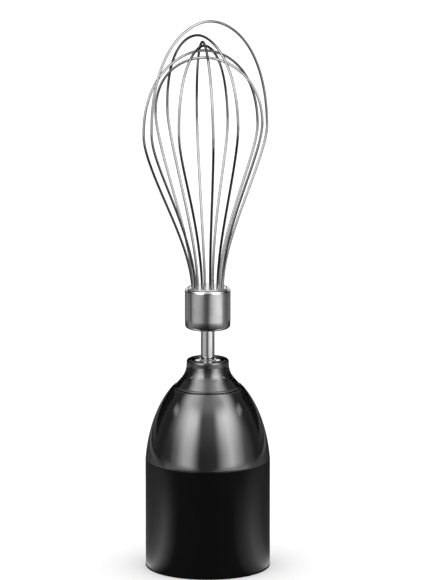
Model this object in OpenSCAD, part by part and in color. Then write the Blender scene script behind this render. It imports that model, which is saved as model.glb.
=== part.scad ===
// Balloon whisk attachment of a hand mixer, standing on the open skirt of its gear housing.
// Millimetres. +Z runs up the spindle axis. The origin is the centre of the skirt's bottom rim.
// Angles round the axis are counted from the front (-Y) towards +X.

/* [Housing] */
// Outside diameter of the skirt, and of the bell at the seam
body_d = 58.2; // [52:0.1:70]
// Height of the skirt, from the bottom rim to the seam
skirt_h = 51.2; // [46:0.1:62]
// Wall thickness of the skirt
skirt_wall = 2.2; // [1.6:0.1:3]
// Rounding of the skirt's outer bottom edge
rim_round = 0.5; // [0.3:0.1:0.8]
// Height of the bell, from the seam to its mouth
bell_h = 34; // [30:0.1:42]
// Outside diameter of the bell at its mouth
bell_mouth_d = 33.6; // [31:0.1:38]
// How far below the seam the bell's curve would be at its widest
bell_drop = 6.5; // [2:0.1:9]
// Thickness of the bell's dome
bell_wall = 2.6; // [2:0.1:3.2]
// Thickness of the bell's spigot, which slides into the skirt
spigot_wall = 4.7; // [4:0.1:5.6]
// Length of the bell's spigot
spigot_l = 6.6; // [6:0.1:8]

/* [Nose] */
// Height of the nose piece above the bell's mouth
nose_h = 13.6; // [13:0.1:18]
// Outside diameter of the neck
neck_d = 19.7; // [18.4:0.1:22]
// Outside diameter of the nose's foot
foot_d = 32.5; // [30:0.1:33.2]
// Diameter of the round mouth at the top of the nose
mouth_d = 13.5; // [13:0.1:14.5]
// Radius of the hollow flare between neck and foot
flare_r = 11; // [8:0.5:12]
// Slope of the flare, away from the spindle axis
flare_angle = 40.5; // [36:0.5:44]
// Rounding of the nose's top edge
lip_round = 1.2; // [0.6:0.1:1.6]

/* [Handle socket] */
// Wall thickness of the liner inside the skirt
liner_wall = 2.15; // [1.6:0.05:3]
// Depth of the socket that the motor handle pushes into
socket_depth = 24; // [20:0.5:29]
// How far the liner's mouth sits above the skirt's rim
liner_recess = 1.2; // [0.8:0.1:2]
// Thickness of the liner's floor
liner_floor = 2.5; // [2:0.1:3.5]
// Width of a latch window
latch_w = 12; // [8:0.5:16]
// Height of a latch window
latch_h = 6; // [4:0.5:8]

/* [Drive] */
// Outside diameter of the drive coupling
coupling_d = 16; // [14:0.5:18]
// Length of the drive coupling
coupling_l = 9.5; // [9:0.1:10.5]
// Diameter of the round socket in the drive coupling
drive_d = 7; // [6:0.1:8]
// Depth of the round socket in the drive coupling
drive_depth = 6.5; // [5.5:0.1:7]
// Width of each drive key slot
key_w = 1.2; // [0.8:0.1:1.4]
// Number of drive key slots
keys = 4; // [2:1:4]
// Diameter of the input shaft
input_d = 4; // [3:0.1:4]

/* [Gears] */
// Teeth on the sun gear
sun_teeth = 12; // [12:3:15]
// Teeth on each planet gear
planet_teeth = 24; // [21:3:24]
// Face width of the planet gears
gear_w = 9; // [7:0.5:10]
// Pressure angle of the teeth
pressure_angle = 22; // [20:1:25]
// Play between meshing teeth, at the pitch circle
tooth_play = 0.16; // [0.12:0.01:0.2]
// Thickness of the ring gear outside its tooth roots
ring_rim = 1.5; // [1.2:0.1:2.5]
// Diameter of the planet pins
pin_d = 3; // [2.4:0.1:3.4]

/* [Spindle] */
// Outside diameter of the spindle hub
hub_d = 12; // [11.6:0.1:12.4]
// Diameter of the whisk shaft
shaft_d = 6.4; // [5:0.1:7.8]
// How deep the whisk shaft stands in the hub
shaft_grip = 24; // [20:0.5:26]
// Width across the drive flats at the shaft's lower end
flat_w = 5.2; // [4.2:0.1:5.4]
// Length of the drive flats
flat_l = 8; // [6:0.5:10]
// Bare shaft between the nose and the collar
shaft_show = 14.6; // [12:0.1:22]

/* [Collar] */
// Outside diameter of the collar
collar_d = 21.3; // [20:0.1:26]
// Height of the collar
collar_h = 19.2; // [15:0.1:22]
// Sheet thickness of the collar
collar_wall = 0.7; // [0.5:0.1:1]
// Rounding of the collar's top edge
collar_top_r = 1.6; // [1:0.1:2]
// Rounding of the collar's bottom edge
collar_bottom_r = 1.6; // [1:0.1:2.2]
// Diameter of the circle of wire holes
port_circle_d = 14.2; // [13.4:0.1:15]
// Diameter of the cross pin that locks the shaft to the core
cross_pin_d = 2; // [1.5:0.1:2.4]

/* [Whisk] */
// Height of the tallest loop above the collar
whisk_h = 125; // [100:1:155]
// Radius of the widest loop
balloon_r = 33.2; // [27:0.1:40]
// Height of the balloon's widest level above the collar, as a share of its height
widest_share = 0.6; // [0.5:0.01:0.7]
// Diameter of the spring wire
wire_d = 1.2; // [0.9:0.1:1.5]
// Sideways set of the balloon at its top, from hand bending
balloon_set = -2.3; // [-4:0.1:4]

/* [Fits] */
// Radial clearance of a running fit
running_fit = 0.05; // [0.03:0.01:0.1]
// Gap between faces that turn past each other
face_gap = 0.3; // [0.2:0.05:0.5]
// Radial clearance of pieces that slide in and stay
slide_fit = 0.1; // [0.05:0.01:0.2]

/* [Hidden] */
$fn = 72;
eps = 0.01;             // how far a cutter passes a face that it opens

// Housing radii and heights
body_r = body_d / 2;
skirt_bore = body_r - skirt_wall;
spigot_r = skirt_bore - slide_fit;
mouth_z = skirt_h + bell_h;
nose_top = mouth_z + nose_h;
spigot_z = skirt_h - spigot_l;
arc_steps = 6;          // straight steps in a small rounded edge
bell_steps = 20;        // straight steps in the bell's curve

// The bell is part of an ellipse, body_r wide at the seam and bell_mouth_d wide at the mouth
bell_narrowing = pow(body_r, 2) - pow(bell_mouth_d / 2, 2);
bell_squash = bell_narrowing / (pow(bell_h + bell_drop, 2) - pow(bell_drop, 2));
bell_widest = sqrt(pow(body_r, 2) + bell_squash * pow(bell_drop, 2));
function bell_radius(z) = sqrt(pow(bell_widest, 2) - bell_squash * pow(z - skirt_h + bell_drop, 2));
function bell_height(r) = skirt_h - bell_drop + sqrt((pow(bell_widest, 2) - pow(r, 2)) / bell_squash);

// Nose
bush_wall = 1.45;
flange_over = 2;        // how far the bush's flange stands out
hub_bore_fit = hub_d / 2 + running_fit;
bush_r = hub_bore_fit + bush_wall;
nose_spigot_r = bush_r + 5.3;
nose_spigot_l = 7.8;
nose_bottom = mouth_z - nose_spigot_l;
boss_wall = 2;
boss_l = 5;
retainer_t = 1;
retainer_depth = 0.9;
foot_lip = 1.3;         // height of the foot's rounded lip
foot_round = 0.5;
bell_lip_r = 0.5;
seal_h = 3;
seal_top = nose_top - 4.2;
bush_flange_t = 1.2;

// Socket and base plate
socket_r = skirt_bore - liner_wall;
well_gap = 2;           // between the coupling and the hole in the liner's floor
base_t = 3.5;
base_z = spigot_z - base_t;
boss_down = 4.5;        // length of the bearing boss below the base plate
input_bush_r = input_d / 2 + 2.5;
boss_r = input_bush_r + 3;
coupling_z = socket_depth + 1;
screw_count = 3;
screw_d = 2.5;
screw_head_d = 4.4;
screw_head_h = 1.6;
screw_l = 6;
seal_d = 1;             // section of the seam's O-ring

// Gear train: ring = sun + 2 planets, and three planets fit when the sum of teeth divides by 3
planets = 3;
first_planet = 90;      // direction of the first planet, counted from +X
ring_teeth = sun_teeth + 2 * planet_teeth;
ring_r = spigot_r - spigot_wall;
dedendum = 1.25;
addendum = 0.95;
ring_pitch = (ring_r - ring_rim) / (1 + 2 * dedendum / ring_teeth);
gear_module = 2 * ring_pitch / ring_teeth;
sun_pitch = gear_module * sun_teeth / 2;
planet_pitch = gear_module * planet_teeth / 2;
orbit_r = sun_pitch + planet_pitch;
flank_steps = 3;
washer_t = 1.2;
carrier_t = 2;
carrier_disc_t = 4;
carrier_r = orbit_r + pin_d / 2 + 2;
ring_z = spigot_z;
washer_top = ring_z + washer_t;
plate_z = washer_top + face_gap;
planet_z = plate_z + carrier_t + face_gap;
disc_z = planet_z + gear_w + face_gap;
ring_top = disc_z - eps;

// Spindle
hub_top = nose_top - 1.6;
cap_t = 0.9;
hub_z = disc_z + 1;
sleeve_r = hub_d / 2 + 2.5;
spindle_washer_t = 0.8;
sleeve_top = nose_bottom - spindle_washer_t - face_gap;
shaft_bore = shaft_d / 2 + running_fit;
shaft_z = hub_top - shaft_grip;
flat_fit = 0.1;
snap_z = hub_top - 8;
snap_section = 0.6;
snap_clear = 0.05;

// Collar
collar_z = nose_top + shaft_show;
collar_top = collar_z + collar_h;
collar_r = collar_d / 2;
plate_gap = 0.4;        // dark ring between the rolled rim and the top plate
plate_r = collar_r - collar_top_r - plate_gap;
plate_t = 1.2;
plate_proud = 0.1;
core_z = collar_z + collar_wall;
core_top = collar_top + plate_proud - plate_t;
shaft_top = core_top - 3;
cross_pin_z = collar_z + collar_h * 0.4;
pin_margin = 0.4;       // between the cross pin's ends and the wires' legs
cross_pin_l = port_circle_d - wire_d - 2 * pin_margin;

// Wires. Each loop: port it leaves by, port it returns to, splay of each side at the widest
// level, then how much narrower than the balloon, how much higher its widest level is and how
// much lower its top is. Ports are numbered round the collar.
ports = 12;
first_port = -80;
wire_root = 2.2;        // where the wires start to spread, below the collar's top
wire_leg_z = core_z + 3.5;
loops = [
    [1, 6, -49, 115, 1.2, -0.5, 0],
    [10, 4, 215, 31, 3.2, 5, 7],
    [2, 8, -26, 156, 6.7, 0, 12],
    [3, 9, 8, 187, 4.2, -1, 10.2],
    [0, 7, -57, 132, 0, -1.5, 14.4],
    [11, 5, 235, 75, 5.6, 4, 18],
];
wire_sides = 8;
rise_rings = 17;        // rings from the collar to the widest level
crown_rings = 21;       // rings from the widest level to the top
// Handles of the two curves that a wire follows, as shares of their heights and of the radius
root_handle = 0.38;
waist_handle = 0.195;
shoulder_handle = 0.76;
crown_handle = 0.37;

// ---------------------------------------------------------------- shared shapes

// Points of a round edge: centre, radius, first and last angle
function arc(r, z, radius, from, to, steps = arc_steps) =
    [for (i = [0:steps]) let (a = from + (to - from) * i / steps)
        [r + radius * cos(a), z + radius * sin(a)]];

module turned(points) {
    rotate_extrude() polygon(points);
}

module tube(r_out, r_in, z0, z1) {
    translate([0, 0, z0])
        difference() {
            cylinder(r = r_out, h = z1 - z0);
            translate([0, 0, -eps])
                cylinder(r = r_in, h = z1 - z0 + 2 * eps);
        }
}

module torus(radius, section, z) {
    translate([0, 0, z])
        rotate_extrude()
            translate([radius, 0])
                circle(d = section, $fn = 24);
}

// ---------------------------------------------------------------- gear teeth

// Involute function in degrees, and half the angle of a tooth at a radius
function involute(a) = tan(a) * 180 / PI - a;
function base_radius(teeth) = gear_module * teeth / 2 * cos(pressure_angle);
function half_tooth(teeth, r, play) =
    90 / teeth + involute(pressure_angle)
    - involute(acos(min(1, base_radius(teeth) / max(r, base_radius(teeth)))))
    - play / (gear_module * teeth) * 90 / PI;

// Outline of a toothed disc with its first tooth centred on the angle turn
function gear_outline(teeth, tip, root, play, turn) = [
    for (k = [0:teeth - 1])
        for (side = [-1, 1])
            for (i = [0:flank_steps])
                let (
                    s = side < 0 ? i / flank_steps : 1 - i / flank_steps,
                    r = root + (tip - root) * s,
                    a = turn + k * 360 / teeth + side * half_tooth(teeth, r, play)
                )
                [r * cos(a), r * sin(a)]
];

module spur_gear(teeth, play, turn, bore, z0, width) {
    pitch = gear_module * teeth / 2;
    translate([0, 0, z0])
        difference() {
            linear_extrude(height = width)
                polygon(gear_outline(
                    teeth, pitch + addendum * gear_module, pitch - dedendum * gear_module, play, turn));
            translate([0, 0, -eps])
                cylinder(r = bore, h = width + 2 * eps);
        }
}

// ---------------------------------------------------------------- housing

module skirt() {
    chamfer = 0.4;
    color([0.05, 0.05, 0.055])
        turned(concat(
            [[skirt_bore, skirt_h], [skirt_bore, chamfer], [skirt_bore + chamfer, 0]],
            arc(body_r - rim_round, rim_round, rim_round, -90, 0),
            [[body_r, skirt_h]]));
}

module socket_liner() {
    lead_in = 0.6;
    window_z = socket_depth / 2;
    color([0.12, 0.12, 0.13])
        difference() {
            turned([
                [skirt_bore, liner_recess], [skirt_bore, socket_depth + liner_floor],
                [coupling_d / 2 + well_gap, socket_depth + liner_floor],
                [coupling_d / 2 + well_gap, socket_depth], [socket_r, socket_depth],
                [socket_r, liner_recess + lead_in], [socket_r + lead_in, liner_recess],
            ]);
            translate([-body_r, -latch_w / 2, window_z - latch_h / 2])
                cube([body_d, latch_w, latch_h]);
        }
}

module bell() {
    inner_at_ring = ring_r - 1;
    boss_r_out = nose_spigot_r + boss_wall;
    dome_from = bell_height(inner_at_ring + bell_wall);
    dome_to = bell_height(boss_r_out + bell_wall);
    groove_z = spigot_z + 1.4;
    color([0.08, 0.08, 0.085])
        difference() {
            turned(concat(
                [[spigot_r, spigot_z], [spigot_r, skirt_h]],
                [for (i = [0:bell_steps])
                    let (z = skirt_h + (bell_h - bell_lip_r) * i / bell_steps) [bell_radius(z), z]],
                arc(bell_radius(mouth_z - bell_lip_r) - bell_lip_r, mouth_z - bell_lip_r,
                    bell_lip_r, 30, 90),
                [[nose_spigot_r, mouth_z], [nose_spigot_r, mouth_z - boss_l],
                    [boss_r_out, mouth_z - boss_l], [boss_r_out, dome_to]],
                [for (i = [1:bell_steps - 1])
                    let (z = dome_to + (dome_from - dome_to) * i / bell_steps)
                        [bell_radius(z) - bell_wall, z]],
                [[inner_at_ring, dome_from], [inner_at_ring, ring_top],
                    [ring_r, ring_top], [ring_r, spigot_z]]));
            tube(spigot_r + eps, spigot_r + slide_fit - seal_d, groove_z, groove_z + seal_d);
            screw_places(spigot_z - eps)
                cylinder(d = screw_d, h = screw_l - base_t + eps);
        }
}

module nose_piece() {
    neck_r = neck_d / 2;
    foot_r = foot_d / 2;
    flare_end = neck_r + flare_r * (1 - cos(flare_angle));
    cone_end = foot_r - foot_lip;
    cone_z = mouth_z + foot_lip;
    flare_z = cone_z + (cone_end - flare_end) / tan(flare_angle) + flare_r * sin(flare_angle);
    mouth_round = 0.6;
    mouth_r = mouth_d / 2;
    shelf_z = seal_top - seal_h;
    color([0.08, 0.08, 0.085])
        turned(concat(
            [[nose_spigot_r, nose_bottom], [nose_spigot_r, mouth_z - boss_l - retainer_t],
                [nose_spigot_r - retainer_depth, mouth_z - boss_l - retainer_t],
                [nose_spigot_r - retainer_depth, mouth_z - boss_l],
                [nose_spigot_r, mouth_z - boss_l], [nose_spigot_r, mouth_z]],
            arc(foot_r - foot_round, mouth_z + foot_round, foot_round, -60, 90),
            [[cone_end + 0.35, cone_z - 0.22]],
            arc(neck_r + flare_r, flare_z, flare_r, 180 + flare_angle, 180, 2 * arc_steps),
            arc(neck_r - lip_round, nose_top - lip_round, lip_round, 0, 90),
            arc(mouth_r + mouth_round, nose_top - mouth_round, mouth_round, 90, 180),
            [[mouth_r, shelf_z], [bush_r, shelf_z],
                [bush_r, nose_bottom + bush_flange_t], [bush_r + flange_over, nose_bottom + bush_flange_t],
                [bush_r + flange_over, nose_bottom]]));
}

module nose_retainer() {
    color([0.55, 0.56, 0.58])
        tube(nose_spigot_r + boss_wall, nose_spigot_r - retainer_depth,
            mouth_z - boss_l - retainer_t, mouth_z - boss_l);
}

module seam_seal() {
    color([0.1, 0.1, 0.1])
        torus(skirt_bore - seal_d / 2, seal_d - 0.04, spigot_z + 1.4 + seal_d / 2);
}

// Places of the base plate's screws
module screw_places(z) {
    for (i = [0:screw_count - 1])
        rotate([0, 0, i * 360 / screw_count])
            translate([(ring_r + spigot_r) / 2, 0, z])
                children();
}

module base_plate() {
    color([0.75, 0.74, 0.7])
        difference() {
            union() {
                translate([0, 0, base_z])
                    cylinder(r = spigot_r, h = base_t);
                translate([0, 0, base_z - boss_down])
                    cylinder(r = boss_r, h = boss_down + base_t / 2);
            }
            translate([0, 0, base_z - boss_down - eps])
                cylinder(r = input_bush_r, h = boss_down + base_t + 2 * eps);
            screw_places(base_z - eps)
                cylinder(d = screw_d, h = base_t + 2 * eps);
        }
}

module base_screws() {
    recess_d = 1.6;
    color([0.7, 0.71, 0.73])
        screw_places(base_z)
            difference() {
                union() {
                    cylinder(d = screw_d, h = screw_l);
                    translate([0, 0, -screw_head_h])
                        cylinder(d = screw_head_d, h = screw_head_h);
                }
                translate([0, 0, -screw_head_h - eps])
                    cylinder(d = recess_d, h = screw_head_h / 2);
            }
}

module input_bush() {
    color([0.72, 0.55, 0.3])
        tube(input_bush_r, input_d / 2 + running_fit, base_z - boss_down, base_z + base_t);
}

module thrust_washer() {
    color([0.85, 0.84, 0.8])
        tube(carrier_r - 1, input_bush_r + 1.5, ring_z, washer_top);
}

module ring_gear() {
    color([0.6, 0.61, 0.63])
        translate([0, 0, ring_z])
            difference() {
                cylinder(r = ring_r, h = ring_top - ring_z);
                translate([0, 0, -eps])
                    linear_extrude(height = ring_top - ring_z + 2 * eps)
                        polygon(gear_outline(
                            ring_teeth,
                            ring_pitch + dedendum * gear_module, ring_pitch - addendum * gear_module,
                            -tooth_play, 180 / ring_teeth));
            }
}

module output_bush() {
    color([0.72, 0.55, 0.3])
        turned([
            [hub_bore_fit, nose_bottom], [bush_r + flange_over, nose_bottom],
            [bush_r + flange_over, nose_bottom + bush_flange_t], [bush_r, nose_bottom + bush_flange_t],
            [bush_r, seal_top - seal_h], [hub_bore_fit, seal_top - seal_h],
        ]);
}

module spindle_washer() {
    color([0.85, 0.84, 0.8])
        tube(bush_r + flange_over, hub_bore_fit, nose_bottom - spindle_washer_t, nose_bottom);
}

module output_seal() {
    color([0.1, 0.1, 0.1])
        tube(mouth_d / 2, hub_bore_fit, seal_top - seal_h, seal_top);
}

// ---------------------------------------------------------------- input side

module drive_coupling() {
    color([0.88, 0.87, 0.83])
        translate([0, 0, coupling_z])
            difference() {
                cylinder(d = coupling_d, h = coupling_l);
                translate([0, 0, -eps])
                    cylinder(d = drive_d, h = drive_depth + eps);
                for (i = [0:keys - 1])
                    rotate([0, 0, i * 360 / keys])
                        translate([0, -key_w / 2, -eps])
                            cube([drive_d / 2 + 1.4, key_w, drive_depth + eps]);
                translate([0, 0, drive_depth - eps])
                    cylinder(d = input_d, h = coupling_l);
            }
}

module input_shaft() {
    from = coupling_z + drive_depth + eps;
    color([0.72, 0.73, 0.75])
        translate([0, 0, from])
            cylinder(d = input_d, h = planet_z + gear_w - from);
}

module input_washer() {
    top = base_z - boss_down - face_gap;
    color([0.85, 0.84, 0.8])
        tube(input_d / 2 + 4, input_d / 2, max(coupling_z + coupling_l, top - 0.8), top);
}

module input_circlip() {
    color([0.45, 0.45, 0.47])
        tube(input_d / 2 + 1.6, input_d / 2, base_z + base_t + face_gap, base_z + base_t + face_gap + 0.6);
}

module sun_gear() {
    color([0.62, 0.63, 0.65])
        spur_gear(sun_teeth, tooth_play / 2, 0, input_d / 2, planet_z, gear_w);
}

// ---------------------------------------------------------------- planet carrier and spindle

// Places of the planets round the axis
module orbit(i) {
    rotate([0, 0, first_planet + i * 360 / planets])
        translate([orbit_r, 0, 0])
            rotate([0, 0, -first_planet - i * 360 / planets])
                children();
}

module planet_carrier() {
    color([0.8, 0.79, 0.75])
        difference() {
            union() {
                translate([0, 0, disc_z])
                    cylinder(r = carrier_r, h = carrier_disc_t);
                translate([0, 0, disc_z])
                    cylinder(r = sleeve_r, h = sleeve_top - disc_z);
            }
            translate([0, 0, hub_z])
                cylinder(d = hub_d, h = sleeve_top);
            for (i = [0:planets - 1])
                orbit(i)
                    translate([0, 0, disc_z - eps])
                        cylinder(d = pin_d, h = carrier_disc_t + 2 * eps);
        }
}

module carrier_plate() {
    color([0.7, 0.71, 0.73])
        difference() {
            tube(carrier_r, sun_pitch + gear_module + 1, plate_z, plate_z + carrier_t);
            for (i = [0:planets - 1])
                orbit(i)
                    translate([0, 0, plate_z - eps])
                        cylinder(d = pin_d, h = carrier_t + 2 * eps);
        }
}

module planet_pins() {
    color([0.75, 0.76, 0.78])
        for (i = [0:planets - 1])
            orbit(i)
                translate([0, 0, plate_z])
                    cylinder(d = pin_d, h = disc_z + carrier_disc_t - plate_z);
}

module planet_gear(i) {
    direction = first_planet + i * 360 / planets;
    turn = direction * (1 + sun_teeth / planet_teeth) + 180 - 180 / planet_teeth;
    color([0.9, 0.89, 0.84])
        orbit(i)
            spur_gear(planet_teeth, tooth_play / 2, turn, pin_d / 2 + running_fit, planet_z, gear_w);
}

module spindle_hub() {
    color([0.66, 0.67, 0.69])
        difference() {
            translate([0, 0, hub_z])
                cylinder(d = hub_d, h = hub_top - hub_z);
            translate([0, 0, shaft_z + flat_l])
                cylinder(r = shaft_bore, h = hub_top);
            intersection() {
                translate([0, 0, shaft_z - face_gap])
                    cylinder(r = shaft_bore, h = flat_l + 1);
                translate([-flat_w / 2 - flat_fit, -shaft_d, shaft_z - face_gap])
                    cube([flat_w + 2 * flat_fit, 2 * shaft_d, flat_l + 1]);
            }
            tube(shaft_bore + snap_section + snap_clear, shaft_bore - eps,
                snap_z - snap_section / 2 - snap_clear, snap_z + snap_section / 2 + snap_clear);
        }
}

module hub_cap() {
    cone_r = shaft_bore + 1.1;
    cone_h = 0.7;
    edge = 0.35;
    color([0.86, 0.87, 0.89])
        turned([
            [shaft_bore, hub_top], [hub_d / 2, hub_top], [hub_d / 2, hub_top + cap_t - edge],
            [hub_d / 2 - edge, hub_top + cap_t], [cone_r, hub_top + cap_t],
            [shaft_bore + 0.3, hub_top + cap_t + cone_h], [shaft_bore, hub_top + cap_t + cone_h],
        ]);
}

module shaft_snap_ring() {
    color([0.5, 0.51, 0.53])
        torus(shaft_bore + snap_section / 2 + snap_clear / 2, snap_section, snap_z);
}

// ---------------------------------------------------------------- whisk

module whisk_shaft() {
    groove = 0.25;
    tip = 0.5;
    color([0.72, 0.73, 0.75])
        difference() {
            turned([
                [0, shaft_z], [shaft_d / 2 - tip, shaft_z], [shaft_d / 2, shaft_z + tip],
                [shaft_d / 2, snap_z - groove], [shaft_d / 2 - groove, snap_z],
                [shaft_d / 2, snap_z + groove], [shaft_d / 2, shaft_top], [0, shaft_top],
            ]);
            for (side = [0, 180])
                rotate([0, 0, side])
                    translate([flat_w / 2, -shaft_d, shaft_z - eps])
                        cube([shaft_d, 2 * shaft_d, flat_l + face_gap]);
            translate([-shaft_d, 0, cross_pin_z])
                rotate([0, 90, 0])
                    cylinder(d = cross_pin_d, h = 2 * shaft_d);
        }
}

module whisk_collar() {
    inner_r = collar_r - collar_wall;
    top_inner = collar_top_r - collar_wall;
    bottom_inner = collar_bottom_r - collar_wall;
    color([0.78, 0.79, 0.8])
        turned(concat(
            [[shaft_d / 2, collar_z]],
            arc(collar_r - collar_bottom_r, collar_z + collar_bottom_r, collar_bottom_r, -90, 0),
            arc(collar_r - collar_top_r, collar_top - collar_top_r, collar_top_r, 0, 90),
            arc(collar_r - collar_top_r, collar_top - collar_top_r, top_inner, 90, 0),
            arc(inner_r - bottom_inner, collar_z + collar_bottom_r, bottom_inner, 0, -90),
            [[shaft_d / 2, collar_z + collar_wall]]));
}

module collar_core() {
    inner_r = collar_r - collar_wall;
    corner = collar_bottom_r - collar_wall;
    color([0.2, 0.2, 0.21])
        difference() {
            turned([
                [shaft_d / 2, core_z], [inner_r - corner, core_z], [inner_r, core_z + corner],
                [inner_r, collar_top - collar_top_r], [plate_r, core_top], [0, core_top],
                [0, shaft_top], [shaft_d / 2, shaft_top],
            ]);
            translate([-cross_pin_l / 2, 0, cross_pin_z])
                rotate([0, 90, 0])
                    cylinder(d = cross_pin_d, h = cross_pin_l);
            port_places(wire_leg_z)
                cylinder(d = wire_d + slide_fit, h = collar_h);
        }
}

module collar_plate() {
    edge = 0.4;
    color([0.9, 0.91, 0.92])
        difference() {
            turned([
                [0, core_top], [plate_r, core_top], [plate_r, core_top + plate_t - edge],
                [plate_r - edge, core_top + plate_t], [0, core_top + plate_t],
            ]);
            port_places(core_top - eps)
                cylinder(d = wire_d + slide_fit, h = plate_t + 2 * eps);
        }
}

module cross_pin() {
    color([0.6, 0.61, 0.63])
        translate([-cross_pin_l / 2, 0, cross_pin_z])
            rotate([0, 90, 0])
                cylinder(d = cross_pin_d, h = cross_pin_l);
}

module port_places(z) {
    for (k = [0:ports - 1])
        translate(concat(bearing(port_circle_d / 2, port_angle(k)), z))
            children();
}

// ---------------------------------------------------------------- wire loops

// A point at a radius and an angle counted from the front towards +X
function bearing(r, a) = [r * sin(a), -r * cos(a)];
function port_angle(k) = first_port + k * 360 / ports;
function ease(t) = t * t * (3 - 2 * t);
function bezier(a, b, c, d, t) =
    pow(1 - t, 3) * a + 3 * pow(1 - t, 2) * t * b + 3 * (1 - t) * t * t * c + pow(t, 3) * d;
// The signed turn from one angle to another, the short way round
function short_turn(from, to) = (to - from + 540) % 360 - 180;

// [radius, height] of a strand above its root: up the side, then over the crown
function rise(waist, waist_h, t) = bezier(
    [port_circle_d / 2, 0], [port_circle_d / 2, root_handle * waist_h],
    [waist, (1 - waist_handle) * waist_h], [waist, waist_h], t);
function crown(waist, waist_h, top_h, t) = bezier(
    [waist, waist_h], [waist, waist_h + shoulder_handle * (top_h - waist_h)],
    [crown_handle * waist, top_h], [0, top_h], t);

// Centre of the wire: half the chord between the two sides, moved off the axis by their middle
function strand_point(loop, side, p, waist, waist_h, over) =
    let (
        swing = over ? 1 : ease(min(1, p[1] / waist_h)),
        a = port_angle(loop[0]) + swing * short_turn(port_angle(loop[0]), loop[2]),
        b = port_angle(loop[1]) + swing * short_turn(port_angle(loop[1]), loop[3]),
        middle = (bearing(1, a) + bearing(1, b)) / 2,
        half = side * (bearing(1, a) - bearing(1, b)) / 2,
        flat = middle * (over ? waist : p[0]) + half * p[0]
    )
    [flat[0] + balloon_set * p[1] / whisk_h, flat[1], collar_top - wire_root + p[1]];

function loop_path(loop) =
    let (
        waist = balloon_r - loop[4],
        top_h = whisk_h + wire_root - loop[6],
        waist_h = whisk_h * widest_share + wire_root + loop[5],
        rising = [for (i = [0:rise_rings - 1]) rise(waist, waist_h, i / rise_rings)],
        over = [for (i = [0:crown_rings]) crown(waist, waist_h, top_h, i / crown_rings)]
    )
    concat(
        [concat(bearing(port_circle_d / 2, port_angle(loop[0])), wire_leg_z)],
        [for (p = rising) strand_point(loop, 1, p, waist, waist_h, false)],
        [for (p = over) strand_point(loop, 1, p, waist, waist_h, true)],
        [for (i = [crown_rings - 1:-1:0]) strand_point(loop, -1, over[i], waist, waist_h, true)],
        [for (i = [rise_rings - 1:-1:0]) strand_point(loop, -1, rising[i], waist, waist_h, false)],
        [concat(bearing(port_circle_d / 2, port_angle(loop[1])), wire_leg_z)]);

function unit(v) = v / norm(v);

// One ring of the wire at a point, square to the way the wire runs, held level by the loop's normal
function wire_ring(path, i, normal) =
    let (
        along = unit(path[min(i + 1, len(path) - 1)] - path[max(i - 1, 0)]),
        across = unit(normal - along * (normal * along)),
        up = cross(along, across)
    )
    [for (k = [0:wire_sides - 1])
        let (a = (k + 0.5) * 360 / wire_sides)
        path[i] + wire_d / 2 * (cos(a) * across + sin(a) * up)];

module wire_loop(n) {
    path = loop_path(loops[n]);
    rings = len(path);
    chord = bearing(1, loops[n][2]) - bearing(1, loops[n][3]);
    normal = [-chord[1], chord[0], 0];
    points = [for (i = [0:rings - 1]) each wire_ring(path, i, normal)];
    walls = [
        for (i = [0:rings - 2])
            for (k = [0:wire_sides - 1])
                let (a = i * wire_sides + k, b = i * wire_sides + (k + 1) % wire_sides)
                each [[a, b, a + wire_sides], [b, b + wire_sides, a + wire_sides]]
    ];
    start_cap = [for (k = [wire_sides - 1:-1:0]) k];
    end_cap = [for (k = [0:wire_sides - 1]) (rings - 1) * wire_sides + k];
    color([0.82, 0.83, 0.84])
        polyhedron(points, concat(walls, [start_cap, end_cap]), convexity = 6);
}

// ---------------------------------------------------------------- what is drawn

skirt();
socket_liner();
bell();
nose_piece();
nose_retainer();
seam_seal();
base_plate();
base_screws();
input_bush();
thrust_washer();
ring_gear();
output_bush();
spindle_washer();
output_seal();
drive_coupling();
input_shaft();
input_washer();
input_circlip();
sun_gear();
planet_carrier();
carrier_plate();
planet_pins();
spindle_hub();
hub_cap();
shaft_snap_ring();
planet_gear(0);  // planet_gear_1
planet_gear(1);  // planet_gear_2
planet_gear(2);  // planet_gear_3
whisk_shaft();
whisk_collar();
collar_core();
collar_plate();
cross_pin();
wire_loop(0);  // wire_loop_1
wire_loop(1);  // wire_loop_2
wire_loop(2);  // wire_loop_3
wire_loop(3);  // wire_loop_4
wire_loop(4);  // wire_loop_5
wire_loop(5);  // wire_loop_6
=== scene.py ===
"""Looks of a hand mixer's balloon whisk attachment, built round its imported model.

Every length is in metres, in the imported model's own frame: +Z runs up the spindle and the front
faces -Y. A size that another piece sets is read from the frame. The others are fields of the
class that builds the piece.
"""

import logging
import math
from dataclasses import dataclass
from enum import Enum
from typing import Callable, ClassVar, Sequence, Union

import bmesh
import bpy
from bmesh.types import BMesh, BMVert
from bpy.types import Material, Object
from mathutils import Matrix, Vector


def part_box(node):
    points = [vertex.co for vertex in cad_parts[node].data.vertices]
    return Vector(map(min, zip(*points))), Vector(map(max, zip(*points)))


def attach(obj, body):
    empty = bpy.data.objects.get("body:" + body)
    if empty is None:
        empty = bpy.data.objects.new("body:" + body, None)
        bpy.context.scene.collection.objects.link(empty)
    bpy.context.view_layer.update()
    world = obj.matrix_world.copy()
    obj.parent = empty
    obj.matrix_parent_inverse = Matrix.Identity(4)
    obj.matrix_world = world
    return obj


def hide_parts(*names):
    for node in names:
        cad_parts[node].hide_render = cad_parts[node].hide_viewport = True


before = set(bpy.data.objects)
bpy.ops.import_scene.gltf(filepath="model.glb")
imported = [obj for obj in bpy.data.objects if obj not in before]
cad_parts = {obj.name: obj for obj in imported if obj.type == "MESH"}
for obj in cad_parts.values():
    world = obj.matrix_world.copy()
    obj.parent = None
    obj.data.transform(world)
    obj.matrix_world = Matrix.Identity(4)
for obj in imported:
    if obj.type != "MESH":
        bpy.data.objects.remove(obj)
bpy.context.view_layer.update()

LOG = logging.getLogger("whisk")
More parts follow.
